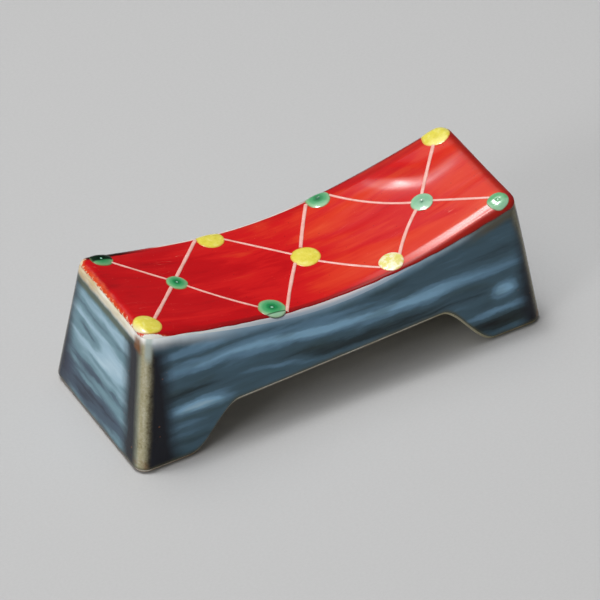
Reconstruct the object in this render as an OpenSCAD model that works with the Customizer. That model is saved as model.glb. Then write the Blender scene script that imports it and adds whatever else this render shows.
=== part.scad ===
// Chopstick rest in the form of a low bridge
//
// A hollow stoneware body with leaning walls stands on two U-shaped feet. Its
// saddle holds the tips of a pair of chopsticks, and an arch is cut under each
// long side. Blue glaze covers the walls, and white glaze the saddle and its
// rim. On the white lies a panel of red enamel, with a diamond lattice of pale
// strokes and a drop of yellow or green enamel at each crossing.
//
// Lengths are in millimetres. X runs along the rest, Y across it and Z up. The
// origin lies on the table, below the middle of the rest.

/* [Body] */
// Length over the glaze at the foot
base_l = 60; // [56:0.5:66]
// Width over the glaze at the foot
base_w = 23.7; // [22:0.1:27]
// Height at which the saddle would meet the end walls, before the rim is rolled
end_h = 20; // [18:0.1:23]
// Height of the saddle in the middle, where it is lowest
saddle_h = 14.6; // [13.5:0.1:17]
// Distance from the middle at which the saddle's curve runs out into straight slopes
saddle_bend = 16.5; // [10:0.5:40]
// Lean of the end walls from upright, in degrees
end_lean = 8.2; // [4:0.1:10]
// Lean of the long walls from upright, in degrees
side_lean = 7.3; // [3:0.1:9]
// Radius of the four upright corners
corner_r = 1.9; // [1.7:0.1:3]
// Radius of the rim, where the walls roll over into the saddle
rim_r = 1.3; // [0.9:0.1:1.5]

/* [Foot and arches] */
// Length of each leg along the foot, from the end wall to the arch
leg_l = 7.5; // [6.5:0.1:9]
// Length over which the arch rises from a leg to its full height
arch_slope_l = 7.7; // [4:0.1:9]
// Height of the arch under each long wall, in the middle
arch_h = 6.1; // [4:0.1:7]
// How far the arch's roof climbs from the middle to its right end, and falls to its left end
arch_climb = 0.45; // [-0.6:0.05:0.6]
// Radius of both edges of the foot
foot_r = 0.4; // [0.2:0.05:0.45]

/* [Hollow underside] */
// Thickness of the clay walls, without glaze
wall_t = 3; // [2.4:0.1:3.8]
// Thickness of the clay under the saddle, without glaze
roof_t = 3.6; // [3:0.1:4.5]
// Radius of the hollow's upright corners
hollow_corner_r = 1.6; // [1:0.1:2.2]
// Radius between the hollow's walls and its ceiling
hollow_ceiling_r = 1.8; // [1:0.1:2.2]

/* [Glaze] */
// Thickness of the blue and the white glaze
glaze_t = 0.3; // [0.2:0.05:0.5]
// Height of bare clay between the foot and the blue glaze
glaze_stop_h = 0.5; // [0.45:0.05:1]

/* [Red enamel panel] */
// Thickness of the red enamel
panel_t = 0.12; // [0.08:0.01:0.25]
// How far the red runs on over the rolled rim at the left end; a negative value stops short of it
left_reach = 1.4; // [-2:0.1:1.5]
// The same at the right end
right_reach = 1.4; // [-2:0.1:1.5]
// The same along the far side
far_reach = 1.2; // [-2:0.1:1.4]
// The same at the left end of the near side, measured from where the rim starts at the ends
near_left_reach = 0.95; // [-2:0.05:1.2]
// The same in the middle of the near side
near_middle_reach = 0.8; // [-2:0.05:1.2]
// The same at the right end of the near side
near_right_reach = 1.6; // [-2:0.05:1.8]
// Length from the middle over which the near edge swings out to its reach at the ends
near_swing_l = 18; // [12:0.5:25]
// Radius of the panel's corners
panel_corner_r = 1.6; // [1:0.1:2.4]

/* [Lattice strokes] */
// Thickness of the pale enamel of the strokes
line_t = 0.08; // [0.05:0.01:0.2]
// Width of the strokes that climb towards the right
broad_line_w = 0.48; // [0.3:0.02:0.7]
// Width of the strokes that fall towards the right
fine_line_w = 0.34; // [0.2:0.02:0.6]
// Gap between the end of a stroke and the enamel dot that it runs to
line_end_gap = 0.06; // [0.02:0.01:0.2]

/* [Enamel dots] */
// Diameter of a yellow dot
yellow_dot_d = 3.7; // [3:0.1:4.4]
// Height of a yellow dot
yellow_dot_h = 0.24; // [0.16:0.02:0.5]
// Diameter of a green dot
green_dot_d = 3; // [2.4:0.1:3.5]
// Height of a green dot
green_dot_h = 0.28; // [0.16:0.02:0.5]

/* [Hidden] */
// Film between one layer of enamel and the next, which keeps curved faces from crossing
film = 0.04;
// Smallest radius that a corner shrinks to as its outline is drawn in
least_corner_r = 0.3;

// Fineness of the curves
corner_steps = 5;
rim_steps = 6;
foot_steps = 3;
ceiling_steps = 4;
span_steps = 7;
slope_steps = 8;
panel_steps = 7;
line_steps = 8;
dot_sides = 20;

// Each dot: its place, as shares of the saddle's half length and of its half width there,
// and its size as a share of the diameter given above
yellow_dot_shares = [
    [-0.98, -0.82, 1], [-0.32, 0.97, 1], [0.035, -0.02, 1.03], [0.36, -0.86, 0.88], [0.965, 0.96, 1]];
green_dot_shares = [
    [-0.935, 0.97, 1], [-0.66, 0.12, 0.95], [-0.313, -0.87, 1.2],
    [0.295, 0.98, 1.08], [0.684, -0.13, 1], [0.962, -0.97, 0.9]];

// Each stroke: the dots that it runs from and to, how far it misses their middles to the
// left as shares of their radii, its bow to the left as a share of its length, and its
// width. The dots count through the yellow ones first, then the green ones.
stroke_shares = [
    [5, 6, 0, 0.09, 0, fine_line_w],
    [6, 7, 0, -0.25, -0.012, fine_line_w],
    [0, 6, -0.16, 0.21, 0, broad_line_w],
    [6, 1, 0.4, 0.86, 0, broad_line_w],
    [1, 2, 0.38, 0.05, 0.013, fine_line_w],
    [2, 3, -0.28, -0.65, -0.005, fine_line_w],
    [7, 2, -1.05, 0.4, 0.012, broad_line_w],
    [2, 8, 0.47, 0.88, 0.01, broad_line_w],
    [8, 9, 0.57, -0.05, -0.043, fine_line_w],
    [9, 10, 0.19, 0.38, 0, fine_line_w],
    [3, 9, -0.34, 0.18, 0.035, broad_line_w],
    [9, 4, 0.15, 0, 0.002, broad_line_w]];

// Height of a dot's face over its underside, at shares of its radius
yellow_profile_shares = [[0, 1], [0.27, 0.98], [0.54, 0.92], [0.8, 0.75], [1, 0.3]];
green_profile_shares = [[0, 0.6], [0.3, 0.9], [0.55, 1], [0.8, 0.8], [1, 0.3]];

// Half sizes at the foot, and how far the walls come in for each unit of height
half_l = base_l / 2;
half_w = base_w / 2;
end_slope = tan(end_lean);
side_slope = tan(side_lean);

// Saddle: height over the table, from a hyperbola through its middle and its ends
saddle_half_l = half_l - end_h * end_slope;
function bend_rise(x) = sqrt(1 + pow(x / saddle_bend, 2)) - 1;
function saddle_z(x) = saddle_h + (end_h - saddle_h) * bend_rise(x) / bend_rise(saddle_half_l);

// Arch: height of the foot's edge over the table
arch_foot_half = half_l - leg_l;
arch_top_half = arch_foot_half - arch_slope_l;
function clamp(t, low, high) = min(max(t, low), high);
function ease(t) = t * t * (3 - 2 * t);
function arch_z(x) = (arch_h + arch_climb * x / arch_top_half)
    * ease(clamp((arch_foot_half - abs(x)) / arch_slope_l, 0, 1));

// Stations round the outline. Each is a corner's signs, the way that the wall faces there,
// and for a station on a long wall its place along the foot.
function steps(from, to, count) = [for (i = [0 : count - 1]) from + (to - from) * i / count];
wall_half_l = half_l - corner_r;
right_places = concat(
    steps(0, arch_top_half, span_steps),
    steps(arch_top_half, arch_foot_half, slope_steps),
    [arch_foot_half]);
left_places = [for (i = [len(right_places) - 1 : -1 : 1]) -right_places[i]];
near_stations = concat(
    [for (i = [0 : corner_steps]) let (a = 180 + 90 * i / corner_steps) [[-1, -1], [cos(a), sin(a)], 0]],
    [for (x = concat(left_places, right_places)) [[0, -1], [0, -1], x]],
    [for (i = [0 : corner_steps]) let (a = 270 + 90 * i / corner_steps) [[1, -1], [cos(a), sin(a)], 0]]);
far_stations = [for (i = [len(near_stations) - 1 : -1 : 0]) let (s = near_stations[i])
    [[s[0].x, -s[0].y], [s[1].x, -s[1].y], s[2]]];
stations = concat(near_stations, far_stations);

// Point of a station on the outline that lies a given inset inside the walls, at height z.
// Along a long wall the places keep their shares of the straight stretch when fixed is false.
function outline_point(station, inset, corner, z, fixed) =
    let (core = [half_l - end_slope * z - inset - corner, half_w - side_slope * z - inset - corner],
         along = fixed ? station[2] : station[2] * core.x / wall_half_l)
    [along + station[0].x * core.x + station[1].x * corner,
     station[0].y * core.y + station[1].y * corner,
     z];

// The same point, settled at a given drop below the saddle
function settled_point(station, inset, corner, drop, z, tries) =
    let (p = outline_point(station, inset, corner, z, false))
    tries == 0 ? p : settled_point(station, inset, corner, drop, saddle_z(p.x) - drop, tries - 1);

// Rings of points: one a given rise over the foot's edge, one a given drop under the saddle
function foot_ring(inset, corner, rise) =
    [for (s = stations) outline_point(s, inset, corner, rise + (s[0].x == 0 ? arch_z(s[2]) : 0), true)];
function saddle_ring(inset, corner, drop) =
    [for (s = stations) settled_point(s, inset, corner, drop, end_h, 5)];

// Ring of the rim at an angle from the wall, 0, to the saddle, 90, a given depth into the glaze
function rim_ring(depth, angle) =
    let (r = rim_r - depth, inset = rim_r - r * cos(angle))
    saddle_ring(inset, corner_r - inset, rim_r - r * sin(angle));
function rim_rings(depth, from, to, count) =
    [for (i = [0 : count]) rim_ring(depth, from + (to - from) * i / count)];

// Faces between rings of equal length, and flat strips across the first and the last ring
function band_faces(a, b, n) =
    [for (i = [0 : n - 1]) let (j = (i + 1) % n)
        each [[a * n + i, a * n + j, b * n + j], [a * n + i, b * n + j, b * n + i]]];
function cap_faces(start, n, up) =
    [for (i = [0 : n / 2 - 2]) let (a = start + i, b = a + 1, d = start + n - 1 - i, c = d - 1)
        each (up ? [[a, d, c], [a, c, b]] : [[a, c, d], [a, b, c]])];

// Solid whose skin runs through rings from one flat cap to the other
module capped_form(rings) {
    n = len(rings[0]);
    last = len(rings) - 1;
    polyhedron(
        points = [for (ring = rings) each ring],
        faces = concat(
            cap_faces(0, n, true),
            [for (k = [0 : last - 1]) each band_faces(k, k + 1, n)],
            cap_faces(last * n, n, false)));
}

// Solid whose skin runs through rings and back to the first one
module hoop_form(rings) {
    n = len(rings[0]);
    count = len(rings);
    polyhedron(
        points = [for (ring = rings) each ring],
        faces = [for (k = [0 : count - 1]) each band_faces(k, (k + 1) % count, n)]);
}

// Stoneware body: outside from the saddle down to the foot, then up into the hollow
module clay_body() {
    inner = glaze_t + wall_t;
    ceiling = glaze_t + roof_t;
    outside = concat(
        rim_rings(glaze_t, 90, 0, rim_steps),
        [foot_ring(glaze_t, corner_r - glaze_t, glaze_stop_h)],
        [for (i = [0 : foot_steps]) let (a = 90 * i / foot_steps, inset = glaze_t + foot_r * (1 - cos(a)))
            foot_ring(inset, corner_r - inset, foot_r * (1 - sin(a)))]);
    inside = concat(
        [for (i = [0 : foot_steps]) let (a = 90 * i / foot_steps, inset = inner - foot_r * (1 - sin(a)))
            foot_ring(inset, hollow_corner_r, foot_r * (1 - cos(a)))],
        [for (i = [0 : ceiling_steps]) let (a = 90 * i / ceiling_steps)
            saddle_ring(inner + hollow_ceiling_r * (1 - cos(a)), hollow_corner_r,
                ceiling + hollow_ceiling_r * (1 - sin(a)))]);
    color("tan") capped_form(concat(outside, inside));
}

// Blue glaze on the walls, from its rounded lower edge to halfway round the rim
module blue_glaze_coat() {
    outer = concat(
        [for (i = [1 : foot_steps]) let (a = 90 * i / foot_steps, inset = glaze_t * (1 - sin(a)))
            foot_ring(inset, corner_r - inset, glaze_stop_h + glaze_t * (1 - cos(a)))],
        rim_rings(0, 0, 45, rim_steps / 2));
    inner = concat(
        rim_rings(glaze_t, 45, 0, rim_steps / 2),
        [foot_ring(glaze_t, corner_r - glaze_t, glaze_stop_h)]);
    color("steelblue") hoop_form([for (i = [len(outer) + len(inner) - 1 : -1 : 0]) concat(outer, inner)[i]]);
}

// White glaze over the saddle and the upper half of the rim
module white_glaze_top() {
    color("ivory") capped_form(concat(
        rim_rings(0, 90, 45, rim_steps / 2),
        rim_rings(glaze_t, 45, 90, rim_steps / 2)));
}

// Half sizes of the saddle inside its rolled rim, where enamel lies flat on it
flat_corner_r = corner_r - rim_r;
function flat_end(x, tries) = tries == 0 ? x : flat_end(half_l - end_slope * saddle_z(x) - rim_r, tries - 1);
flat_half_l = flat_end(saddle_half_l, 5);
function flat_half_w(x) = half_w - side_slope * saddle_z(min(abs(x), flat_half_l)) - rim_r;

// Where a point of the saddle, unrolled flat, comes to lie at a given lift over the glaze.
// Past the flat part it rolls over the rim, and past the rim it runs down the wall.
function on_glaze(p, lift) =
    let (core = [flat_half_l - flat_corner_r, flat_half_w(p.x) - flat_corner_r],
         past = [p.x - clamp(p.x, -core.x, core.x), p.y - clamp(p.y, -core.y, core.y)],
         over = norm(past) - flat_corner_r)
    over <= 0 ? [p.x, p.y, saddle_z(p.x) + lift] :
    let (angle = 90 - min(over / rim_r * 180 / PI, 90),
         down = max(over - rim_r * PI / 2, 0),
         inset = rim_r - (rim_r + lift) * cos(angle),
         drop = rim_r - (rim_r + lift) * sin(angle) + down)
    rolled_point(p, core, past / norm(past) * (corner_r - inset), drop, saddle_z(p.x), 5);
function rolled_point(p, core, reach, drop, z, tries) =
    let (x = (abs(p.x) < core.x ? p.x : sign(p.x) * (half_l - end_slope * z - corner_r)) + reach.x,
         y = (abs(p.y) < core.y ? p.y : sign(p.y) * (half_w - side_slope * z - corner_r)) + reach.y)
    tries == 0 ? [x, y, z] : rolled_point(p, core, reach, drop, saddle_z(x) - drop, tries - 1);

// Outline of the red panel on the unrolled saddle, drawn in by a given amount
function panel_point(station, drawn_in) =
    let (r = max(panel_corner_r - drawn_in, least_corner_r),
         left = -flat_half_l - left_reach + drawn_in + r,
         right = flat_half_l + right_reach - drawn_in - r,
         share = (1 + (station[0].x == 0 ? station[2] / wall_half_l : station[0].x)) / 2,
         x = left + (right - left) * share,
         end_reach = x < 0 ? near_left_reach : near_right_reach,
         swing = ease(min(abs(x) / near_swing_l, 1)),
         near_reach = near_middle_reach + (end_reach - near_middle_reach) * swing,
         edge = station[0].y < 0 ? flat_half_w(flat_half_l) + near_reach : flat_half_w(x) + far_reach)
    [x + station[1].x * r, station[0].y * (edge - drawn_in - r) + station[1].y * r];

// Red enamel: its face from the middle to the edge, then its underside back to the middle
module red_enamel_panel() {
    drawn_in_most = 2 * rim_r;
    function panel_ring(drawn_in, lift) = [for (s = stations) on_glaze(panel_point(s, drawn_in), lift)];
    face = [for (i = [panel_steps : -1 : 0]) panel_ring(drawn_in_most * i / panel_steps, film + panel_t)];
    back = [for (i = [0 : panel_steps]) panel_ring(drawn_in_most * i / panel_steps, film)];
    color("firebrick") capped_form(concat(face, back));
}

// Dots: the middle of each on the unrolled saddle, and its radius
enamel_lift = film + panel_t + film;
function dots_at(shares, d) =
    [for (s = shares) let (x = s[0] * flat_half_l) [[x, s[1] * flat_half_w(x)], s[2] * d / 2]];
yellow_dots = dots_at(yellow_dot_shares, yellow_dot_d);
green_dots = dots_at(green_dot_shares, green_dot_d);
dots = concat(yellow_dots, green_dots);

// Drop of enamel whose face follows a profile of shares of its radius and its height
module enamel_dot(dot, h, profile) {
    function dot_ring(share, lift) =
        [for (i = [0 : dot_sides - 1]) let (a = 360 * i / dot_sides)
            on_glaze(dot[0] + dot[1] * share * [cos(a), sin(a)], lift)];
    rims = [for (i = [1 : len(profile) - 1]) profile[i]];
    count = len(rims);
    rings = concat(
        [for (s = rims) dot_ring(s[0], enamel_lift + h * s[1])],
        [for (i = [count - 1 : -1 : 0]) dot_ring(rims[i][0], enamel_lift)]);
    n = dot_sides;
    tip = 2 * count * n;
    polyhedron(
        points = concat(
            [for (ring = rings) each ring],
            [on_glaze(dot[0], enamel_lift + h * profile[0][1]), on_glaze(dot[0], enamel_lift)]),
        faces = concat(
            [for (i = [0 : n - 1]) [tip, (i + 1) % n, i]],
            [for (k = [0 : 2 * count - 2]) each band_faces(k, k + 1, n)],
            [for (i = [0 : n - 1]) [tip + 1, (2 * count - 1) * n + i, (2 * count - 1) * n + (i + 1) % n]]));
}

module yellow_dot(i) {
    color("gold") enamel_dot(yellow_dots[i], yellow_dot_h, yellow_profile_shares);
}

module green_dot(i) {
    color("seagreen") enamel_dot(green_dots[i], green_dot_h, green_profile_shares);
}

// Brush stroke from the edge of one dot to the edge of another
module lattice_line(i) {
    stroke = stroke_shares[i];
    w = stroke[5];
    from = dots[stroke[0]];
    to = dots[stroke[1]];
    way = (to[0] - from[0]) / norm(to[0] - from[0]);
    left = [-way.y, way.x];
    miss = [stroke[2] * from[1], stroke[3] * to[1]];
    function clear_of(dot, miss) =
        sqrt(max(pow(dot[1] + line_end_gap, 2) - pow(max(abs(miss) - w / 2, 0), 2), 0));
    start = from[0] + left * miss[0] + way * clear_of(from, miss[0]);
    end = to[0] + left * miss[1] - way * clear_of(to, miss[1]);
    bow = stroke[4] * norm(end - start);
    function stroke_ring(t) =
        let (middle = start + (end - start) * t + left * bow * 4 * t * (1 - t),
             side = left * w / 2,
             face_lift = enamel_lift + line_t)
        [on_glaze(middle - side, enamel_lift), on_glaze(middle + side, enamel_lift),
         on_glaze(middle + side, face_lift), on_glaze(middle - side, face_lift)];
    color("mistyrose") capped_form([for (k = [0 : line_steps]) stroke_ring(k / line_steps)]);
}

clay_body();
blue_glaze_coat();
white_glaze_top();
red_enamel_panel();
for (i = [1 : len(stroke_shares)])
    lattice_line(i - 1);
for (i = [1 : len(yellow_dots)])
    yellow_dot(i - 1);
for (i = [1 : len(green_dots)])
    green_dot(i - 1);
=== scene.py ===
"""Chopstick rest of glazed stoneware: a low bridge with a blue coat, a white glazed
saddle, and on the saddle a red enamel panel with a pale lattice and raised dots."""
from math import cos, exp, hypot, pi, radians, sin, sqrt, tan

import bmesh
import bpy
from mathutils import Matrix, Vector, noise


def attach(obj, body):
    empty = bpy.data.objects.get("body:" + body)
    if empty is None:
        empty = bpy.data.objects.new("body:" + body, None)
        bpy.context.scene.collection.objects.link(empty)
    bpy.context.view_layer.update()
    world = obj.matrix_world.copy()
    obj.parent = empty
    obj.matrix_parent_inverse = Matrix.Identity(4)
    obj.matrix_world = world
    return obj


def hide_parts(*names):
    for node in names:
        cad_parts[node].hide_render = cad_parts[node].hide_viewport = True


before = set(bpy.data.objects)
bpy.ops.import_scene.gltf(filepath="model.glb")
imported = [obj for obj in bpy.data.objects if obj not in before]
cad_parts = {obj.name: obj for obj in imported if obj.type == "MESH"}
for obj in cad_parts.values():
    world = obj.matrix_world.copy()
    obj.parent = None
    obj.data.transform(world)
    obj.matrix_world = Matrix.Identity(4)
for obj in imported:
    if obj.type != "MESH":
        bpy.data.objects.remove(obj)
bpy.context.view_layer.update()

# Stoneware body
# Pressed from buff stoneware clay, with leaning walls, a dished saddle, a rolled rim and
# a hollow underside. It is left bare on the foot, along the arches and in the hollow.
# All the sizes of the rest are in mm.
half_length, half_width = 30.0, 11.85
end_slope, side_slope = tan(radians(8.2)), tan(radians(7.3))
end_height, saddle_height, saddle_bend = 20.0, 14.6, 16.5
corner_radius, rim_radius, foot_radius = 1.9, 1.3, 0.4
arch_foot, arch_crown, arch_height, arch_climb = 22.5, 14.8, 6.1, 0.45
wall_thickness, roof_thickness = 3.0, 3.6
hollow_corner, hollow_round = 1.6, 1.8
glaze_thickness, bare_height = 0.3, 0.5


def bent(x):
    return sqrt(1 + (x / saddle_bend) ** 2) - 1


saddle_climb = (end_height - saddle_height) / bent(half_length - end_height * end_slope)


def saddle_z(x):
    return saddle_height + saddle_climb * bent(x)


def held(t):
    return min(max(t, 0), 1)


def eased(t):
    return held(t) ** 2 * (3 - 2 * held(t))


def arch_z(x):
    up_leg = (arch_foot - abs(x)) / (arch_foot - arch_crown)
    return (arch_height + arch_climb * x / arch_crown) * eased(up_leg)


# Places round the body: shares of the straight stretches, and the way the wall faces there
turn, along, across = 12, 120, 30
around = []
body_corners = [(-1, -1), (1, -1), (1, 1), (-1, 1)]
for k, (cx, cy) in enumerate(body_corners):
    for i in range(turn + 1):
        a = radians(180 + 90 * k + 90 * i / turn)
        around.append((cx, cy, cos(a), sin(a)))
    to_x, to_y = body_corners[(k + 1) % 4]
    count = across if k % 2 else along
    for i in range(1, count):
        around.append((cx + (to_x - cx) * i / count, cy + (to_y - cy) * i / count, cos(a), sin(a)))
around.append(around[0])

# The places along the near side, with its two corners
near_places = around[:2 * turn + along + 1]

# The walls lean and their height changes with x, so a point on them is found in rounds
rounds = 8


def wall_point(place, inset, corner, height):
    z = end_height / 2
    for _ in range(rounds):
        x = place[0] * (half_length - end_slope * z - inset - corner) + place[2] * corner
        z = height(x)
    return x, place[1] * (half_width - side_slope * z - inset - corner) + place[3] * corner, z


def foot_row(inset, corner, rise):
    return lambda place: wall_point(place, inset, corner, lambda x: arch_z(x) + rise)


def saddle_row(inset, corner, drop):
    return lambda place: wall_point(place, inset, corner, lambda x: saddle_z(x) - drop)


def rim_row(depth, angle):
    r = rim_radius - depth
    inset = rim_radius - r * cos(radians(angle))
    return saddle_row(inset, corner_radius - inset, rim_radius - r * sin(radians(angle)))


def rim_rows(depth, start, end, count):
    return [rim_row(depth, start + (end - start) * i / count) for i in range(count + 1)]


def rows_between(low, high, count):
    def part(t):
        return lambda place: tuple(a + (b - a) * t for a, b in zip(low(place), high(place)))
    return [part(i / count) for i in range(1, count)]


# A hand-pressed piece is never quite even: above the foot, points move by up to 0.1 mm.
# Points are set down in metres, as the frame has them.
wave_pitch, wave_height, steady_height = 0.07, 0.12, 4
wave_shifts = [Vector((3.1, shift, 7.7)) for shift in (0.4, 20.4, 40.4)]
mm = 0.001


def pressed_by_hand(p):
    wave = Vector([noise.noise(Vector(p) * wave_pitch + shift) for shift in wave_shifts])
    return (Vector(p) + wave * wave_height * min(abs(p[2]) / steady_height, 1)) * mm


# A woven sheet is a grid of rows and columns, laid where the piece has its surface
def woven(shape, rows, columns, place):
    made = bmesh.ops.create_grid(shape, x_segments=columns, y_segments=rows, size=1)
    for v in made["verts"]:
        r, c = round((v.co.y + 1) / 2 * rows), round((v.co.x + 1) / 2 * columns)
        v.co = pressed_by_hand(place(r, c))


def skin(shape, rows):
    woven(shape, len(rows) - 1, len(around) - 1, lambda r, c: rows[r](around[c]))


# Flat strips from the near side to the far side close a skin at its first or last row
def strips(shape, row):
    def place(r, c):
        x, y, z = row(near_places[c])
        return x, y * (1 - 2 * r / across), z
    woven(shape, across, len(near_places) - 1, place)


# Points closer than this, in metres, are made one
touching = 2e-6


def finished(shape, node, material, sharp=40):
    bmesh.ops.remove_doubles(shape, verts=shape.verts, dist=touching)
    bmesh.ops.recalc_face_normals(shape, faces=shape.faces)
    mesh = bpy.data.meshes.new("looks_" + node)
    shape.to_mesh(mesh)
    shape.free()
    mesh.shade_smooth()
    mesh.set_sharp_from_angle(angle=radians(sharp))
    mesh.materials.append(material)
    piece = bpy.data.objects.new("looks_" + node, mesh)
    bpy.context.scene.collection.objects.link(piece)
    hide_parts(node)
    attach(piece, "root")


def colour(code):
    parts = [int(code[i:i + 2], 16) / 255 for i in (0, 2, 4)]
    return [c / 12.92 if c <= 0.04045 else ((c + 0.055) / 1.055) ** 2.4 for c in parts] + [1]


# A number that differs from place to place on a finish. Plain signs make sums with it.
class Amount:
    def __init__(self, finish, socket):
        self.finish, self.socket = finish, socket

    def __add__(self, other):
        return self.finish.maths("ADD", self, other)

    def __sub__(self, other):
        return self.finish.maths("SUBTRACT", self, other)

    def __rsub__(self, other):
        return self.finish.maths("SUBTRACT", other, self)

    def __mul__(self, other):
        return self.finish.maths("MULTIPLY", self, other)

    def __truediv__(self, number):
        return self * (1 / number)

    def __abs__(self):
        return self.finish.maths("ABSOLUTE", self)

    __radd__, __rmul__ = __add__, __mul__


# A finish is a mix of noises, ramps and amounts; these few words write its recipe, in mm
class Finish:
    def __init__(self, name):
        self.material = bpy.data.materials.new(name)
        self.material.use_nodes = True
        self.nodes, self.links = self.material.node_tree.nodes, self.material.node_tree.links
        self.shader = self.nodes["Principled BSDF"]
        where = self.nodes.new("ShaderNodeTexCoord")
        self.mm = self.stretch(where.outputs["Object"], (1 / mm, 1 / mm, 1 / mm))
        axes = self.nodes.new("ShaderNodeSeparateXYZ")
        self.links.new(self.mm, axes.inputs[0])
        self.x, self.y, self.z = [Amount(self, socket) for socket in axes.outputs]

    def put(self, socket, value):
        value = value.socket if isinstance(value, Amount) else value
        if isinstance(value, bpy.types.NodeSocket):
            self.links.new(value, socket)
        else:
            socket.default_value = value

    def maths(self, kind, *values):
        n = self.nodes.new("ShaderNodeMath")
        n.operation = kind
        for socket, value in zip(n.inputs, values):
            self.put(socket, value)
        return Amount(self, n.outputs[0])

    def vector(self, x, y, z):
        n = self.nodes.new("ShaderNodeCombineXYZ")
        for socket, value in zip(n.inputs, (x, y, z)):
            self.put(socket, value)
        return n.outputs[0]

    def stretch(self, vector, scale, shift=(0, 0, 0), turned=0.0):
        n = self.nodes.new("ShaderNodeMapping")
        self.put(n.inputs["Vector"], vector)
        n.inputs["Scale"].default_value = scale
        n.inputs["Location"].default_value = shift
        n.inputs["Rotation"].default_value = (0, 0, turned)
        return n.outputs[0]

    def noise(self, vector, scale, detail=2.0, rough=0.5, warp=0.0):
        n = self.nodes.new("ShaderNodeTexNoise")
        self.put(n.inputs["Vector"], vector)
        n.inputs["Scale"].default_value = scale
        n.inputs["Detail"].default_value = detail
        n.inputs["Roughness"].default_value = rough
        n.inputs["Distortion"].default_value = warp
        return Amount(self, n.outputs["Fac"])

    def cells(self, vector, scale, output="Distance"):
        n = self.nodes.new("ShaderNodeTexVoronoi")
        self.put(n.inputs["Vector"], vector)
        n.inputs["Scale"].default_value = scale
        return Amount(self, n.outputs[output])

    def fade(self, value, start, end, low=0.0, high=1.0):
        n = self.nodes.new("ShaderNodeMapRange")
        n.interpolation_type = "SMOOTHSTEP"
        for socket, number in zip(n.inputs, (value, start, end, low, high)):
            self.put(socket, number)
        return Amount(self, n.outputs[0])

    def ramp(self, value, *stops):
        n = self.nodes.new("ShaderNodeValToRGB")
        n.color_ramp.interpolation = "EASE"
        while len(n.color_ramp.elements) < len(stops):
            n.color_ramp.elements.new(0.5)
        for element, (position, code) in zip(n.color_ramp.elements, stops):
            element.position, element.color = position, colour(code)
        self.put(n.inputs[0], value)
        return n.outputs[0]

    def over(self, share, under, top):
        n = self.nodes.new("ShaderNodeMix")
        n.data_type = "RGBA"
        self.put(n.inputs[0], share)
        for socket, value in zip((n.inputs[6], n.inputs[7]), (under, top)):
            self.put(socket, colour(value) if isinstance(value, str) else value)
        return n.outputs[2]

    def attribute(self, name):
        n = self.nodes.new("ShaderNodeAttribute")
        n.attribute_name = name
        return Amount(self, n.outputs["Fac"])

    def relief(self, height, distance, strength=1.0):
        n = self.nodes.new("ShaderNodeBump")
        n.inputs["Distance"].default_value = distance
        n.inputs["Strength"].default_value = strength
        self.put(n.inputs["Height"], height)
        self.put(self.shader.inputs["Normal"], n.outputs[0])

    def done(self, base, roughness, gloss=0.5, coat=0.0, coat_roughness=0.1):
        self.put(self.shader.inputs["Base Color"], base)
        self.put(self.shader.inputs["Roughness"], roughness)
        self.put(self.shader.inputs["Specular IOR Level"], gloss)
        self.put(self.shader.inputs["Coat Weight"], coat)
        self.shader.inputs["Coat Roughness"].default_value = coat_roughness
        return self.material


clay = Finish("bare_stoneware")
grain = clay.noise(clay.mm, 3.2, 5, 0.65)
stain = clay.noise(clay.mm, 0.22, 3, 0.5, 0.4)
fired = clay.ramp(stain, (0.3, "cbc4ae"), (0.5, "dad5c6"), (0.7, "e2dfd3"))
fired = clay.over(clay.fade(grain, 0.36, 0.6, 0.4, 0.0), fired, "a8977a")
iron = clay.fade(clay.cells(clay.mm, 1.3), 0.08, 0.14, 0.8, 0.0)
fired = clay.over(iron, fired, "4f3a26")
burnt_foot = clay.fade(stain * 0.8 + clay.z, 0.5, 1.0, 0.75, 0.0)
burnt_end = clay.fade(abs(clay.x), 29.2, 29.7, 0.0, 0.45)
fired = clay.over(clay.maths("MAXIMUM", burnt_foot, burnt_end), fired, "966f4a")
smoked = clay.fade(clay.x, 8.0, 17.0, 0.0, 0.55)
fired = clay.over(smoked, fired, "8f8a5a")
clay.relief(grain + clay.noise(clay.mm, 9, 2), 0.04 * mm, 0.6)
stoneware = clay.done(fired, 0.72, 0.35)

body = bmesh.new()
inner, ceiling = glaze_thickness + wall_thickness, glaze_thickness + roof_thickness
quarter = [radians(90 * i / 5) for i in range(6)]
outside = rim_rows(glaze_thickness, 90, 0, 8)
lip = foot_row(glaze_thickness, corner_radius - glaze_thickness, bare_height)
outside += rows_between(outside[-1], lip, 6) + [lip]
hollow, vault = [], []
for a in quarter:
    out, down = 1 - cos(a), 1 - sin(a)
    inset = glaze_thickness + foot_radius * out
    outside.append(foot_row(inset, corner_radius - inset, foot_radius * down))
    hollow.append(foot_row(inner - foot_radius * down, hollow_corner, foot_radius * out))
    vault.append(saddle_row(inner + hollow_round * out, hollow_corner, ceiling + hollow_round * down))
skin(body, outside + hollow + rows_between(hollow[-1], vault[0], 8) + vault)
strips(body, outside[0])
strips(body, vault[-1])
finished(body, "clay_body", stoneware)

# Blue glaze coat
# The walls are dipped in an iron-blue glaze that runs in level streaks. It breaks to olive
# on the upright corners, pools almost black beside them, and thins to white at the rim.
blue = Finish("streaked_blue_glaze")
from_end = half_length - blue.z * end_slope - abs(blue.x)
from_side = half_width - blue.z * side_slope - abs(blue.y)
from_corner = from_end + from_side
round_corner = from_end - from_side
end_wall = blue.maths("GREATER_THAN", from_side, from_end)
side_wall = 1 - end_wall
bent_here = blue.maths("SQRT", blue.x * blue.x / saddle_bend ** 2 + 1) - 1
from_rim = bent_here * saddle_climb + saddle_height - blue.z

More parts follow.
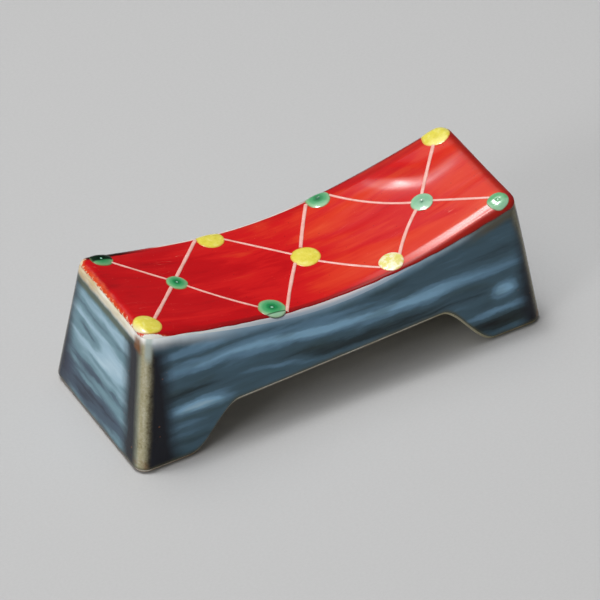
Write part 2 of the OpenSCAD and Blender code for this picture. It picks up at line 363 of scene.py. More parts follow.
# Each wall is painted alike, so the far side repeats the near side turned about the middle
side_run = blue.x * blue.maths("SIGN", blue.y) * -1
end_run = blue.y * blue.maths("SIGN", blue.x)
ripple = blue.noise(blue.stretch(blue.mm, (0.16, 0.22, 0.5)), 1, 4, 0.6)
level = blue.z + ripple * 1.7 - 0.85
side_level = level + blue.maths("TANH", side_run * 0.125 + 0.75) * 1.4


# Brush marks: the middle along the wall, reach, height, thickness, tilt, how much lighter
def brushed(run, height, marks):
    total = 0.0
    for middle, reach, z, thickness, tilt, strength in marks:
        beside = run - middle
        up = (height - z - beside * tilt) / thickness
        out = blue.maths("POWER", abs(beside / reach), 3.0)
        total = blue.maths("EXPONENT", (up * up + out) * -1) * strength + total
    return total


side_marks = brushed(side_run, side_level, [
    (-3, 28, 12.1, 1.05, 0, 0.42), (-20, 10, 14.6, 0.8, 0, 0.26), (-20.5, 4.2, 6.0, 0.8, 0, 0.52),
    (-9, 7, 8.4, 0.45, -0.05, 0.16), (24.3, 1.9, 8.7, 1.2, 0, 0.46), (24, 5, 5.9, 0.65, 0, 0.3),
    (2, 9, 13.9, 0.6, 0, 0.1), (-20.5, 4.5, 10.7, 0.6, 0, -0.06), (-19, 7, 8.8, 0.45, 0, -0.1),
    (3, 9, 15.3, 0.8, 0, -0.1), (4, 13, 9.4, 0.9, 0, -0.16), (23.5, 4.5, 3.8, 0.9, 0, -0.28),
    (-23, 3, 3.2, 1.2, 0, 0.12), (16, 7, 15.0, 1.2, 0, 0.08), (22.5, 4, 14.5, 1.4, 0, -0.07)])
end_marks = brushed(end_run, level, [
    (-1.5, 8, 16.0, 0.8, 0, 0.19), (-2, 8, 14.6, 0.4, 0, -0.14), (-4.5, 5, 13.1, 0.5, 0, 0.16),
    (2.6, 3.8, 11.0, 1.7, 0, 0.34), (-4, 3.4, 11.8, 0.6, -0.2, -0.13), (-4, 6, 9.9, 0.6, 0, 0.26),
    (0, 4.5, 8.8, 0.5, -0.04, -0.15), (0.5, 7, 7.9, 0.5, 0, 0.06), (0.5, 8.5, 5.9, 0.35, -0.07, 0.05),
    (0.5, 9, 6.9, 0.9, 0, -0.22), (-1, 9.5, 3.1, 2.1, 0, -0.3), (-2, 2.5, 4.6, 0.4, 0, 0.12)])
rippled = blue.vector(blue.x, blue.y, level)
streaks = blue.noise(blue.stretch(rippled, (0.05, 0.08, 0.5)), 1, 3, 0.5, 0.3)
threads = blue.noise(blue.stretch(rippled, (0.14, 0.18, 1.5)), 1, 3, 0.5)
body_tone = streaks * 0.5 + threads * 0.16 + 0.04
side_walls = blue.ramp(
    side_marks + body_tone,
    (0.0, "101519"), (0.18, "26363b"), (0.4, "4e6c7d"), (0.6, "749dba"), (0.8, "9dceed"), (1.0, "c6e6f8"))
mossy = blue.fade(blue.noise(blue.stretch(blue.mm, (0.1, 0.1, 0.4), (4, 9, 2)), 1, 3), 0.5, 0.68)
side_walls = blue.over(mossy * 0.4, side_walls, "3f524e")
# The ends get a lighter ramp than the long sides: painted light for the left end, which faces the lamps more
# than the long sides do
end_walls = blue.ramp(
    end_marks + body_tone,
    (0.0, "1b2033"), (0.16, "43586c"), (0.34, "7398a6"), (0.58, "a9cbdd"), (0.85, "cfe8f4"), (1.0, "e8f4fa"))
shaded = blue.fade(blue.z * 0.36 + ripple * 2.0 + from_side, 4.8, 7.8, 0.9, 0.0)
shaded = shaded * end_wall * blue.fade(end_run, -1.0, -3.0)
end_walls = blue.over(shaded, end_walls, "2c334a")
walls = blue.over(end_wall, side_walls, end_walls)

# Pale rim: whiter at the left of each long side, bluish along it, cream on the ends. Towards the left corner
# the white is partly thin glaze, partly painted highlight.
ragged = blue.noise(blue.stretch(blue.mm, (0.5, 0.5, 0.22)), 1, 5, 0.65)
frayed_rim = ragged * 0.8 + from_rim
reach = blue.fade(side_run, -27.5, -22.0, -0.7, 0.0) + blue.fade(side_run, -17.0, -8.0, -0.38, 0.18)
reach = reach + blue.fade(side_run, 14.0, 20.0, 0.0, -0.3)
side_pale = blue.fade(ragged * 0.6 - 0.3 + from_rim + reach, -0.2, 1.6, 1.0, 0.0)
# At the near left corner the top of the wall turns almost white: painted highlight on the white glaze
corner_white_highlight = blue.fade(side_run, -21.0, -26.0) * blue.fade(frayed_rim, 0.9, 1.9, 1.0, 0.0)
whiter_left, whiter_right = blue.fade(side_run, -12.5, -23.0), blue.fade(side_run, 10.0, 16.0, 0.0, 0.75)
white_with_highlight = blue.over(corner_white_highlight, "ccd6de", "eef2f2")
rim_tone = blue.over(blue.maths("MAXIMUM", whiter_left, whiter_right), "7f98ab", white_with_highlight)
walls = blue.over(side_pale * side_wall, walls, rim_tone)
olive_rim = blue.fade(side_run, 18.0, 23.0) * blue.fade(frayed_rim, 2.0, 3.0, 0.75, 0.0)
walls = blue.over(olive_rim * side_wall, walls, "6a6149")
end_rim = ragged * 0.7 + from_rim - 0.35
end_line = blue.fade(abs(end_rim - 2.6), 0.2, 0.9, 0.85, 0.0)
walls = blue.over(end_line * end_wall, walls, "5a6149")
seep = blue.noise(blue.stretch(blue.mm, (1, 0.3, 1)), 0.9, 3)
cream = blue.ramp(end_run * 0.03 + seep, (0.3, "d9bf94"), (0.5, "ece2ca"), (0.75, "f8f6f0"))
walls = blue.over(blue.fade(end_rim, 1.6, 2.3, 1.0, 0.0) * end_wall, walls, cream)

# Pooled, nearly black glaze beside the corners
end_right = blue.fade(end_run, -4.0, -8.0) * end_wall
right_corner = blue.maths("MAXIMUM", blue.fade(side_run, 15.0, 22.0), end_right)
low_down = side_wall * (blue.z * 0.14 - 0.5)
pool_edge = right_corner * 2.35 + end_wall * 0.6 + low_down + ragged * 1.2 + from_corner
pooled = blue.fade(pool_edge, 4.2, 7.0, 1.0, 0.0) * blue.fade(from_rim, 1.3, 3.2)
specks = blue.fade(blue.cells(blue.mm, 1.1), 0.1, 0.2, 0.6, 0.0)
specks = specks * blue.fade(blue.cells(blue.mm, 1.1, "Color"), 0.66, 0.7)
pool = blue.over(specks, blue.over(ragged, "0a0b15", "171a28"), "8a5230")
walls = blue.over(pooled, walls, pool)

# The olive break on the corner itself, with rust at its rim and foot and a pale drip
speckle = blue.noise(blue.mm, 3.0, 4, 0.7) + blue.noise(blue.stretch(blue.mm, (1.6, 1.6, 0.25)), 1, 3)
right_high = right_corner * blue.fade(from_rim, 2.0, 8.0, 1.0, 0.0)
off_break = abs(ragged * 0.5 - right_high * 0.8 + round_corner - 0.05)
broken = blue.fade(right_corner * 0.5 + off_break, 0.25, 2.1, 1.0, 0.0)
olive = blue.ramp(
    broken * 0.2 + speckle * 0.5,
    (0.4, "655a3b"), (0.53, "968c68"), (0.67, "bdb693"), (0.83, "d3ceb4"))
# The corner's side towards the end is lighter grey-green: painted reflection of the light from the left
olive = blue.over(blue.fade(round_corner, -0.5, -1.3, 0.0, 0.6), olive, "98a398")
olive = blue.over(right_corner * 0.6, olive, "4c4733")
walls = blue.over(broken * blue.fade(from_rim, 0.9, 1.8), walls, olive)
rim_rust = blue.fade(abs(ragged * 1.6 + round_corner + 0.9), 0.2, 1.3, 0.9, 0.0)
rim_rust = rim_rust * blue.fade(abs(ragged * 1.2 + from_rim - 2.6), 0.5, 1.5, 1.0, 0.0)
rim_rust = rim_rust * blue.fade(end_run, 3.0, 8.0)
foot_rust = blue.fade(blue.noise(blue.mm, 0.7, 3), 0.42, 0.6) * blue.fade(blue.z, 1.2, 2.4, 0.7, 0.0)
walls = blue.over(blue.maths("MAXIMUM", rim_rust, foot_rust * broken), walls, "835024")
drip = blue.fade(right_corner * 3.0 + abs(round_corner - 0.4), 0.25, 0.95, 0.85, 0.0)
drip = drip * blue.fade(ragged * 1.4 + from_rim, 3.6, 5.4, 1.0, 0.0)
walls = blue.over(drip, walls, "bccac4")

# The glaze thins to olive just above the bare clay of the feet and arches
under_arch = blue.x * (arch_climb / arch_crown) + arch_height
above_foot = blue.z - blue.fade(abs(blue.x), arch_foot, arch_crown) * under_arch
thinned = blue.fade(ragged * 0.6 + above_foot, 0.85, 1.5, 0.8, 0.0)
walls = blue.over(thinned, walls, "5b5a44")
blue.relief(blue.noise(blue.mm, 0.5, 3) + threads * 0.35, 0.06 * mm, 0.5)
blue_glaze = blue.done(walls, 0.15, 0.22)

coat = bmesh.new()
edge = []
for a in quarter:
    inset = glaze_thickness * (1 - sin(a))
    edge.append(foot_row(inset, corner_radius - inset, bare_height + glaze_thickness * (1 - cos(a))))
rim = rim_rows(0, 0, 45, 12)
back = rim_rows(glaze_thickness, 45, 0, 6)
flank, inside = rows_between(edge[-1], rim[0], 26), rows_between(back[-1], edge[0], 4)
skin(coat, edge + flank + rim + back + inside + [edge[0]])
finished(coat, "blue_glaze_coat", blue_glaze)

# White glaze top
# A clear white glaze is brushed over the saddle and its rolled rim before the blue is
# dipped, so it shows as a milky edge round the red, blue-tinged on the long sides.
white = Finish("milky_white_glaze")


# How far a place lies beyond the line where the rim of a long side begins to roll over
def past_rim(finish):
    return abs(finish.y) + finish.z * side_slope + (rim_radius - half_width)


cloud = white.noise(white.stretch(white.mm, (0.3, 0.6, 1)), 1, 4, 0.6)
milk = white.ramp(cloud, (0.3, "ccd2d4"), (0.55, "dddfdd"), (0.75, "e9e7e0"))
milk = white.over(white.fade(abs(white.x), 26.0, 26.5, 0.0, 0.5), milk, "e6dcc2")
white_run = white.x * white.maths("SIGN", white.y) * -1
thinner = white.over(white.fade(past_rim(white), 0.25, 0.8), "c4babb", "93a0ad")
thin_rim = white.fade(white_run, -22.0, -6.0) * white.fade(past_rim(white), -0.3, 0.1)
milk = white.over(thin_rim, milk, thinner)
white.relief(white.noise(white.mm, 0.6, 3), 0.05 * mm, 0.4)
white_glaze = white.done(milk, 0.16, 0.5)

top = bmesh.new()
over_rim = rim_rows(0, 90, 45, 12)
under_rim = rim_rows(glaze_thickness, 45, 90, 6)
skin(top, over_rim + under_rim)
strips(top, over_rim[0])
strips(top, under_rim[-1])
finished(top, "white_glaze_top", white_glaze)

# Red enamel panel
# Overglaze red, laid on the fired white with a broad flat brush and fired again. It is
# glossy, runs over the rim on three sides, and wears thin and orange at the left end.
flat_half_length = half_length - rim_radius
for _ in range(rounds):
    flat_half_length = half_length - end_slope * saddle_z(flat_half_length) - rim_radius
flat_corner = corner_radius - rim_radius
left_reach, right_reach, far_reach = 1.4, 1.4, 1.2
near_left_reach, near_middle_reach, near_right_reach, near_swing = 0.95, 0.8, 1.6, 18.0
panel_corner, least_corner, ragged_depth = 1.6, 0.3, 0.1
panel_thickness, film = 0.12, 0.04
full_lift, sunk = film + panel_thickness, -0.06


def flat_half_width(x):
    return half_width - side_slope * saddle_z(min(abs(x), flat_half_length)) - rim_radius


# Where a point of the saddle, unrolled flat, lies once it rolls over the rim
def on_glaze(px, py, lift):
    core_x, core_y = flat_half_length - flat_corner, flat_half_width(px) - flat_corner
    past_x = px - min(max(px, -core_x), core_x)
    past_y = py - min(max(py, -core_y), core_y)
    past = hypot(past_x, past_y)
    over = past - flat_corner
    if over <= 0:
        return px, py, saddle_z(px) + lift
    angle = pi / 2 - min(over / rim_radius, pi / 2)
    inset = rim_radius - (rim_radius + lift) * cos(angle)
    drop = rim_radius - (rim_radius + lift) * sin(angle) + max(over - rim_radius * pi / 2, 0)
    reach = (corner_radius - inset) / past
    z = saddle_z(px)
    for _ in range(rounds):
        x = px if abs(px) < core_x else (1 if px > 0 else -1) * (half_length - end_slope * z - corner_radius)
        y = py if abs(py) < core_y else (1 if py > 0 else -1) * (half_width - side_slope * z - corner_radius)
        x, y = x + past_x * reach, y + past_y * reach
        z = saddle_z(x) - drop
    return x, y, z


def near_edge(x):
    end_reach = near_left_reach if x < 0 else near_right_reach
    more = (end_reach - near_middle_reach) * eased(abs(x) / near_swing)
    return flat_half_width(flat_half_length) + near_middle_reach + more


def panel_plan(place, drawn_in):
    r = max(panel_corner - drawn_in, least_corner)
    left = -flat_half_length - left_reach + drawn_in + r
    right = flat_half_length + right_reach - drawn_in - r
    x = left + (right - left) * (1 + place[0]) / 2
    low = -(near_edge(x) - drawn_in - r)
    high = flat_half_width(x) + far_reach - drawn_in - r
    y = low + (high - low) * (1 + place[1]) / 2
    ragged_edge = noise.noise(Vector((place[0] * 14, place[1] * 6, 5.5)))
    r += ragged_depth * ragged_edge * max(1 - drawn_in, 0)
    return x + place[2] * r, y + place[3] * r


# At the near left corner the enamel's edge is worn down to the glaze over this width
worn_width, worn_from_x, worn_from_y = 0.9, 20, 7.5


def kept_share(x, y, drawn_in):
    near_left = held((-x - worn_from_x) / 3) * held((-y - worn_from_y) / 1.2)
    return 1 - near_left * (1 - held(drawn_in / worn_width))


def panel_row(drawn_in, lift):
    def place_on(place):
        x, y = panel_plan(place, drawn_in)
        kept = kept_share(x, y, drawn_in) if lift > 0 else 1
        return on_glaze(x, y, lift * kept)
    return place_on


def panel_strips(shape, drawn_in, lift):
    def place(r, c):
        near = near_places[c]
        x, low = panel_plan(near, drawn_in)
        high = panel_plan((near[0], -near[1], near[2], -near[3]), drawn_in)[1]
        return on_glaze(x, low + (high - low) * r / across, lift)
    woven(shape, across, len(near_places) - 1, place)


# Rows from the underside out to the edge, then up its swelling and in over the face
drawn_most, edge_width = 2 * rim_radius, 0.28
edge_steps = [(0, 0.0), (0.03, 0.06), (0.08, 0.11), (0.16, 0.145)]
face_steps = [edge_width + (drawn_most - edge_width) * i / 12 for i in range(13)]
rows = [panel_row(drawn_in, sunk) for drawn_in in (drawn_most, 1.6, 0.8, 0.0)]
rows += [panel_row(drawn_in, lift) for drawn_in, lift in edge_steps]
rows += [panel_row(drawn_in, full_lift) for drawn_in in face_steps]
panel = bmesh.new()
skin(panel, rows)
panel_strips(panel, drawn_most, sunk)
panel_strips(panel, drawn_most, full_lift)

red = Finish("brushed_red_enamel")
brush = red.noise(red.stretch(red.mm, (0.06, 0.3, 0.1), turned=-0.2), 1, 4, 0.55, 0.5)
hairs = red.noise(red.stretch(red.mm, (0.2, 2.2, 0.3), turned=-0.14), 1, 3, 0.6)
cloudy = red.noise(red.mm, 0.1, 3, 0.5)
tone = brush * 0.62 + hairs * 0.14 + cloudy * 0.24
# Towards the right the red is drawn lighter and more orange: partly the enamel's own tone, partly painted
# sheen for the soft reflection on the rising right of the saddle
tone = tone + red.fade(red.x, -14.0, 4.0, -0.06, 0.12) + red.fade(red.x, 18.0, 23.0, 0.0, 0.07)
enamel = red.ramp(
    tone, (0.3, "a7030d"), (0.44, "c0050f"), (0.54, "cf1416"), (0.66, "d9341d"), (0.82, "e24f2a"))
dusty = red.fade(red.cells(red.mm, 1.9), 0.05, 0.1, 1.0, 0.0)
dusty = dusty * red.fade(red.cells(red.mm, 1.9, "Color"), 0.62, 0.66, 0.0, 0.5)
enamel = red.over(dusty, enamel, "e8735c")
pits = red.fade(red.cells(red.stretch(red.mm, (1, 1, 1), (7, 3, 1)), 0.8), 0.04, 0.08, 0.6, 0.0)
enamel = red.over(pits, enamel, "7d0b0d")
fray = red.noise(red.mm, 2.0, 4, 0.7)
from_left = red.x + red.fade(red.y, -7.8, -9.2, 26.6, 23.2) - red.fade(red.y, 7.4, 8.8, 0.0, 1.1)
thin_red = red.fade(fray * 1.2 + cloudy * 1.2 + from_left, 0.7, 1.35, 0.85, 0.0)
enamel = red.over(thin_red, enamel, "dd5224")

# The wash is darker where it rolls over the long sides and the right end: partly thicker enamel, partly
# painted shade where the roll turns from the lamps. Along the far side the darkening is painted shade.
left_of_middle = red.maths("MINIMUM", red.x, 0.0)
near_at = left_of_middle * left_of_middle * 0.001 + red.fade(red.x, 0.0, 17.0, 0.2, 1.1)
edge_at = red.fade(red.y, -1.0, 1.0) * (1.04 - near_at) + near_at
rolled_side = red.fade(fray * 0.3 + past_rim(red) - edge_at, -0.65, -0.15, 0.0, 0.72)
rolled_side = rolled_side * red.fade(red.x, -20.0, -12.0, 0.4, 1.0)
far_shade = red.fade(past_rim(red), -1.3, 0.2, 0.0, 0.45) * red.fade(red.y, 0.0, 2.0)
enamel = red.over(far_shade * red.fade(red.x, -6.0, 6.0), enamel, "a80d13")
rolled_end = red.fade(fray * 0.5 + red.x, 25.3, 26.9, 0.0, 0.75)
enamel = red.over(red.maths("MAXIMUM", rolled_side, rolled_end), enamel, "7a0d10")

# Along the middle of the far edge the white shows, and further left the edge is drawn nearly black and dull.
# The left end is worn through to the white, and fine scratches run along the panel.
far_edge = red.y + abs(red.x) * 0.024 - 8.72
bare_far = red.fade(far_edge, 0.42, 0.6) * red.fade(red.x, -17.0, -15.0)
enamel = red.over(bare_far * red.fade(red.x, 3.0, 9.0, 1.0, 0.0), enamel, "e6d8ce")
black_far_edge = red.fade(fray * 0.3 + far_edge, 0.0, 0.25) * red.fade(red.x, -21.5, -16.0, 0.95, 0.0)
black_far_edge = black_far_edge * red.fade(red.x, -26.6, -25.6)
enamel = red.over(black_far_edge, enamel, "150b0a")
worn = red.fade(fray * 2.0 + from_left, 0.35, 0.65, 1.0, 0.0)
enamel = red.over(worn, enamel, red.over(red.fade(red.y, -2.0, -8.0), "e2d2ae", "eceae2"))
scratched = red.fade(red.noise(red.stretch(red.mm, (0.1, 1, 1)), 0.5, 2), 0.6, 0.7)
from_scratch = abs(red.noise(red.stretch(red.mm, (0.1, 1.6, 1), (2, 5, 0)), 1, 1) - 0.5)
enamel = red.over(red.fade(from_scratch, 0.0, 0.008, 0.5, 0.0) * scratched, enamel, "f0a08c")


# Soft shoulders along the long sides, brush waves and two low swellings catch the light
def shoulder(finish):
    rolled = finish.fade(past_rim(finish), -0.9, 0.2, 0.0, -0.22)
    return rolled * finish.fade(finish.x, 3.0, 13.0, 0.3, 1.0)


def swelling(x, y, along_x, along_y, length, width, height):
    from_x, from_y = red.x - x, red.y - y
    far = (from_x * along_x + from_y * along_y) / length
    off = (from_y * along_x - from_x * along_y) / width
    return red.maths("EXPONENT", (far * far + off * off) * -0.5) * height


laid = red.noise(red.stretch(red.mm, (0.08, 0.34, 0.1), turned=-0.2), 1, 1, 0.4, 0.4)
swollen = swelling(17.1, 5.2, 0.75, -0.66, 2.5, 1.15, 0.54) + swelling(22.8, 2.6, 1.0, 0.1, 2.6, 1.1, 0.2)
red.relief(laid * 0.12 + hairs * 0.0015 + swollen + shoulder(red), mm)
thick_rim = red.fade(abs(past_rim(red) + 0.15), 0.3, 0.8, 1.0, 0.0)
thick = red.maths("MAXIMUM", red.fade(swollen, 0.05, 0.2), thick_rim) * red.fade(red.x, 8.0, 15.0)
red_enamel = red.done(enamel, 0.24, (thick * 0.57 + 0.4) * (1 - black_far_edge))
finished(panel, "red_enamel_panel", red_enamel, 60)

# Enamel dots
# Drops of thick enamel set on the crossings with the tip of a brush: yellow is opaque and
# domed, green is glassy, with a dark pit where the brush was lifted off.
yellow_diameter, green_diameter, yellow_height, green_height = 3.7, 3.0, 0.3, 0.36

# Each dot's place, in shares of the saddle's half length and half width, and its size
yellow_shares = [
    (-0.98, -0.82, 1), (-0.32, 0.97, 1), (0.035, -0.02, 1.03), (0.36, -0.86, 0.88), (0.965, 0.96, 1)]
green_shares = [
    (-0.935, 0.97, 1), (-0.66, 0.12, 0.95), (-0.313, -0.87, 1.2),
    (0.295, 0.98, 1.08), (0.684, -0.13, 1), (0.962, -0.97, 0.9)]


def dots_at(shares, diameter):
    return [(s * flat_half_length, t * flat_half_width(s * flat_half_length), size * diameter / 2)
            for s, t, size in shares]


dots = dots_at(yellow_shares, yellow_diameter) + dots_at(green_shares, green_diameter)
drop_turn, drop_lift, drop_sunk, drop_wobble = 64, full_lift + 0.01, -0.3, 0.05


# A profile gives the drop's height, as a share, at each share of its radius from the middle
def drop(number, profile, height):
    px, py, radius = dots[number]
    shape = bmesh.new()
    out = shape.verts.layers.float.new("out")
    over_white = shape.verts.layers.float.new("over_white")
    outline = profile + [(share, drop_sunk) for share, _ in reversed(profile)]
    last = len(outline) - 1
    made = bmesh.ops.create_grid(shape, x_segments=drop_turn, y_segments=last, size=1)
    for v in made["verts"]:
        share, lift = outline[round((v.co.y + 1) / 2 * last)]
        a = 2 * pi * round((v.co.x + 1) / 2 * drop_turn) / drop_turn
        wobble = 1 + drop_wobble * noise.noise(Vector((cos(a) * 1.3, sin(a) * 1.3, number * 3.7)))
        x, y = px + radius * share * wobble * cos(a), py + radius * share * wobble * sin(a)
        v.co = pressed_by_hand(on_glaze(x, y, drop_lift + height * lift))
        v[out], v[over_white] = share, -y - near_edge(x)
    return shape


yellow = Finish("opaque_yellow_enamel")
butter = yellow.noise(yellow.mm, 1.3, 4, 0.65)
lemon = yellow.ramp(butter, (0.3, "dfd142"), (0.5, "eadd56"), (0.7, "f2e97e"))
browned = yellow.fade(butter * 0.16 + yellow.attribute("out"), 0.92, 1.08, 0.0, 0.8)
lemon = yellow.over(browned, lemon, "dba23e")
# Pale swirls on the fourth yellow dot: painted highlight, standing in for the lamp's glints on it
sheen_swirls = yellow.fade(yellow.x, 6.0, 8.0) * yellow.fade(yellow.x, 13.0, 11.0)
sheen_swirls = sheen_swirls * yellow.fade(yellow.y, -4.0, -6.0) * yellow.fade(butter, 0.42, 0.6, 0.2, 0.8)
lemon = yellow.over(sheen_swirls, lemon, "fbf8dc")
faded = yellow.fade(yellow.y * 0.28 + yellow.x, -28.0, -29.2, 0.0, 0.75)
lemon = yellow.over(faded, lemon, "f2ecd0")
yellow.relief(yellow.noise(yellow.mm, 1.1, 3) * 0.05 + shoulder(yellow), mm)
yellow_enamel = yellow.done(lemon, 0.22, 0.5, 0.6, 0.14)

green = Finish("glassy_green_enamel")
green_out = green.attribute("out")
swirl = green.noise(green.mm, 0.9, 4, 0.6, 0.6)
glass = green.ramp(
    swirl * 0.22 + green_out - 0.11,
    (0.0, "0b5a3a"), (0.12, "0a6236"), (0.28, "17874a"), (0.55, "47a468"), (0.86, "7cba84"), (0.95, "97a468"))
# Towards the right the dots are drawn paler: painted sheen, standing in for the lamp's reflection on the
# right of the saddle
glass = green.over(green.fade(green.x, 4.0, 18.0, 0.0, 0.5), glass, "b2dac0")
# Over the far rim the leftmost green dot is drawn nearly black and dull, and the dot darker overall
black_far_green = green.fade(swirl * 0.5 + green.y, 7.55, 7.9) * green.fade(green.x, -25.9, -25.3)
black_far_green = black_far_green * green.fade(green.x, -20.0, -19.0, 0.95, 0.0)
glass = green.over(green.fade(green.x, -22.5, -23.5, 0.0, 0.3), glass, "2a5c34")
glass = green.over(black_far_green, glass, "0a100e")
beyond_red = green.attribute("over_white")
glass = green.over(green.fade(beyond_red, -0.3, -0.18, 0.0, 0.65), glass, "a3c9ae")
glass = green.over(green.fade(abs(beyond_red + 0.3), 0.05, 0.16, 0.75, 0.0), glass, "24402c")
# A pale spot in the pit of the left dots: painted highlight, standing in for the glint on the bead
pit_glint = green.fade(green_out, 0.05, 0.13, 0.85, 0.0) * green.fade(green.x, -4.0, 0.0, 1.0, 0.0)
glass = green.over(pit_glint, glass, "9fe3c4")
pit = green.fade(swirl * 0.2 + green_out, 0.14, 0.28, 0.8, 0.0) * green.fade(green.x, 2.0, 6.0)
glass = green.over(pit, glass, "2f7350")
brow = green.fade(swirl * 1.5 + green.y, -8.1, -7.5) * green.fade(green.x, 23.5, 24.0)
glass = green.over(brow * green.fade(green.y, -7.0, -6.0, 0.7, 0.0), glass, "4fa865")
glass = green.over(green.fade(green_out, 0.93, 0.99, 0.0, 0.45), glass, "35573c")
green.relief(green.noise(green.mm, 1.0, 3) * 0.04 + shoulder(green), mm)
outside_black_green = 1 - black_far_green
green_enamel = green.done(glass, 0.14, outside_black_green * 0.6, outside_black_green * 0.5, 0.03)


# Heights across a drop, as shares: a flat dome with a small step at its outline, and the
# same with a pit in its middle and a bead in the pit
dome_height, dome_power, dome_step = 0.6, 2.4, 0.06
pit_depth, pit_width, bead_height, bead_width = 0.34, 0.15, 0.2, 0.07


def dome(s):
    return dome_height * (1 - s ** dome_power) + dome_step * (s < 0.99)


def pitted_dome(s):
    return dome(s) - pit_depth * exp(-(s / pit_width) ** 2) + bead_height * exp(-(s / bead_width) ** 2)


domed = [(s, dome(s)) for s in [i / 14 for i in range(14)] + [0.97, 1.0]]
pitted = [(s, pitted_dome(s)) for s in [i / 22 for i in range(22)] + [0.98, 1.0]]
for i in range(len(yellow_shares)):
    finished(drop(i, domed, yellow_height), f"yellow_dot_{i + 1}", yellow_enamel, 75)
for i in range(len(green_shares)):
    shape = drop(len(yellow_shares) + i, pitted, green_height)
    finished(shape, f"green_dot_{i + 1}", green_enamel, 75)

# Lattice strokes
# Pinkish white enamel lines, drawn from dot to dot with a fine brush: thinner towards the
# foot of the saddle, a little broader where they climb to the right.
broad, fine = 0.48, 0.34
stroke_thickness, stroke_sunk, stroke_pressure, stroke_gap, stroke_steps = 0.08, 0.03, 0.16, 0.12, 48

# From dot, to dot, how far off each dot's middle in radii, bow as a share of length, width
strokes = [
    (5, 6, 0, 0.09, 0, fine), (6, 7, 0, -0.25, -0.012, fine), (0, 6, -0.16, 0.21, 0, broad),
    (6, 1, 0.4, 0.86, 0, broad), (1, 2, 0.38, 0.05, 0.013, fine), (2, 3, -0.28, -0.65, -0.005, fine),
    (7, 2, -1.05, 0.4, 0.012, broad), (2, 8, 0.47, 0.88, 0.01, broad), (8, 9, 0.57, -0.05, -0.043, fine),
    (9, 10, 0.19, 0.38, 0, fine), (3, 9, -0.34, 0.18, 0.035, broad), (9, 4, 0.15, 0, 0.002, broad)]
across_stroke = [
    (-1, 0), (-0.9, 0.6), (-0.6, 0.9), (0, 1), (0.6, 0.9), (0.9, 0.6), (1, 0), (0.6, -1), (-0.6, -1), (-1, 0)]
pale = Finish("pale_stroke_enamel")
drag = pale.noise(pale.mm, 1.1, 4, 0.6)
chalk = pale.ramp(drag, (0.3, "e9a79a"), (0.5, "f0b7ab"), (0.7, "f5c9bf"))
chalk = pale.over(pale.fade(abs(pale.attribute("off_middle")), 0.5, 1.05, 0.0, 0.5), chalk, "dd7a6a")
pale.relief(drag, 0.03 * mm, 0.4)
pale_enamel = pale.done(chalk, 0.3, 0.5, 0.1, 0.08)


def stroke(number):
    start, end, miss_start, miss_end, bow, width = strokes[number]
    a, b = Vector(dots[start][:2]), Vector(dots[end][:2])
    way = (b - a).normalized()
    left = Vector((-way.y, way.x))
    miss = (miss_start * dots[start][2], miss_end * dots[end][2])

    def clear(dot, missed):
        return sqrt(max((dots[dot][2] - stroke_gap) ** 2 - max(abs(missed) - width / 2, 0) ** 2, 0))

    a = a + left * miss[0] + way * clear(start, miss[0])
    b = b + left * miss[1] - way * clear(end, miss[1])
    last = len(across_stroke) - 1
    shape = bmesh.new()
    off_middle = shape.verts.layers.float.new("off_middle")
    made = bmesh.ops.create_grid(shape, x_segments=stroke_steps, y_segments=last, size=1)
    for v in made["verts"]:
        off, lift = across_stroke[round((v.co.y + 1) / 2 * last)]
        t = (v.co.x + 1) / 2
        middle = a + (b - a) * t + left * bow * (b - a).length * 4 * t * (1 - t)
        pressed = 1 + stroke_pressure * noise.noise(Vector((t * 5, number * 2.3, 1.7)))
        p = middle + left * off * pressed * width / 2
        height = (stroke_thickness if lift > 0 else stroke_sunk) * lift
        v.co = pressed_by_hand(on_glaze(p.x, p.y, full_lift + height))
        v[off_middle] = off
    bmesh.ops.remove_doubles(shape, verts=shape.verts, dist=touching)
    bmesh.ops.holes_fill(shape, edges=shape.edges)
    return shape


for i in range(len(strokes)):
    finished(stroke(i), f"lattice_line_{i + 1}", pale_enamel, 80)

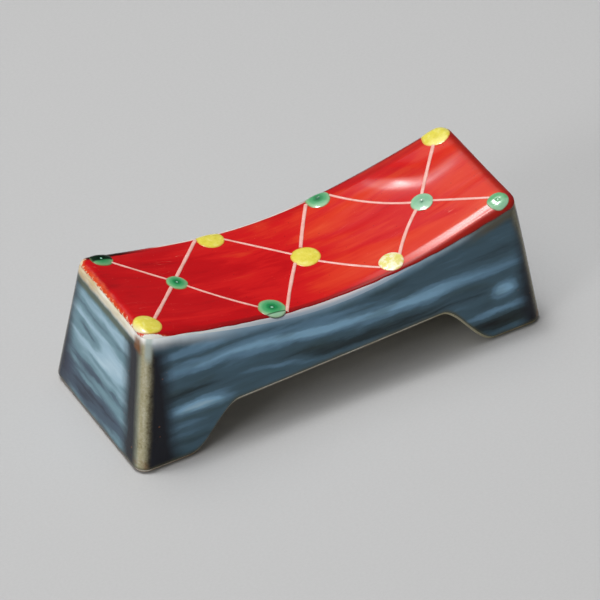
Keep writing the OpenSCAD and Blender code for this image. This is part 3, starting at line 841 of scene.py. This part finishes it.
# Floor, light and camera
# A sheet of pale grey board under a large soft box, brighter in its middle, high behind the
# left end, with a weak fill from the left. The camera looks down on the near left corner.
# Their places and sizes are in metres.
board = bmesh.new()
bmesh.ops.create_grid(board, x_segments=2, y_segments=2, size=2.5)
board_mesh = bpy.data.meshes.new("board")
board.to_mesh(board_mesh)
board.free()
floor = bpy.data.objects.new("board", board_mesh)
bpy.context.scene.collection.objects.link(floor)
card = Finish("pale_grey_board")
fibre = card.noise(card.stretch(card.mm, (1, 1.6, 1)), 2.2, 3, 0.6)
card.relief(fibre, 0.05 * mm, 0.3)
board_mesh.materials.append(card.done(card.ramp(fibre, (0.3, "bebebe"), (0.7, "c1c1c1")), 0.85, 0.2))


def lamp(name, place, width, height, power, spread):
    light = bpy.data.lights.new(name, "AREA")
    light.shape, light.size, light.size_y, light.energy = "RECTANGLE", width, height, power
    light.spread = radians(spread)
    holder = bpy.data.objects.new(name, light)
    bpy.context.scene.collection.objects.link(holder)
    middle_of_rest = Vector((0, 0, 0.01))
    aim = (Vector(place) - middle_of_rest).to_track_quat("Z", "Y")
    holder.matrix_world = Matrix.Translation(place) @ aim.to_matrix().to_4x4()


lamp("soft_box", (-0.15, 0.2, 0.99), 1.2, 1.1, 2.1, 80)
lamp("soft_box_middle", (-0.145, 0.193, 0.96), 0.3, 0.27, 0.32, 80)
lamp("soft_box_bulb", (-0.14, 0.187, 0.93), 0.15, 0.14, 0.43, 80)
lamp("fill_from_left", (-0.85, -0.25, 0.45), 0.3, 0.3, 0.53, 90)
world = bpy.data.worlds.new("weak_light_all_round")
world.use_nodes = True
world.node_tree.nodes["Background"].inputs["Color"].default_value = (1, 1, 1, 1)
world.node_tree.nodes["Background"].inputs["Strength"].default_value = 0.11
bpy.context.scene.world = world

# The photo's camera, fitted to the rest's corners, rim and outline
azimuth, elevation, roll = radians(-29.096), radians(40.364), radians(-0.915)
looked_at, distance = Vector((-0.001152, -0.002285, 0.01)), 0.6327
focal_pixels, photo_pixels, sensor = 4950.7, 600, 36.0
back = Vector((sin(azimuth) * cos(elevation), -cos(azimuth) * cos(elevation), sin(elevation)))
right = Vector((cos(azimuth), sin(azimuth), 0))
up = back.cross(right)
right, up = cos(roll) * right + sin(roll) * up, -sin(roll) * right + cos(roll) * up
lens = bpy.data.cameras.new("camera")
lens.sensor_width, lens.lens, lens.clip_start = sensor, focal_pixels / photo_pixels * sensor, 0.05
camera = bpy.data.objects.new("camera", lens)
bpy.context.scene.collection.objects.link(camera)
turned = Matrix((right, up, back)).transposed().to_4x4()
camera.matrix_world = Matrix.Translation(looked_at + back * distance) @ turned
bpy.context.scene.camera = camera
bpy.context.scene.view_settings.view_transform = "Standard"
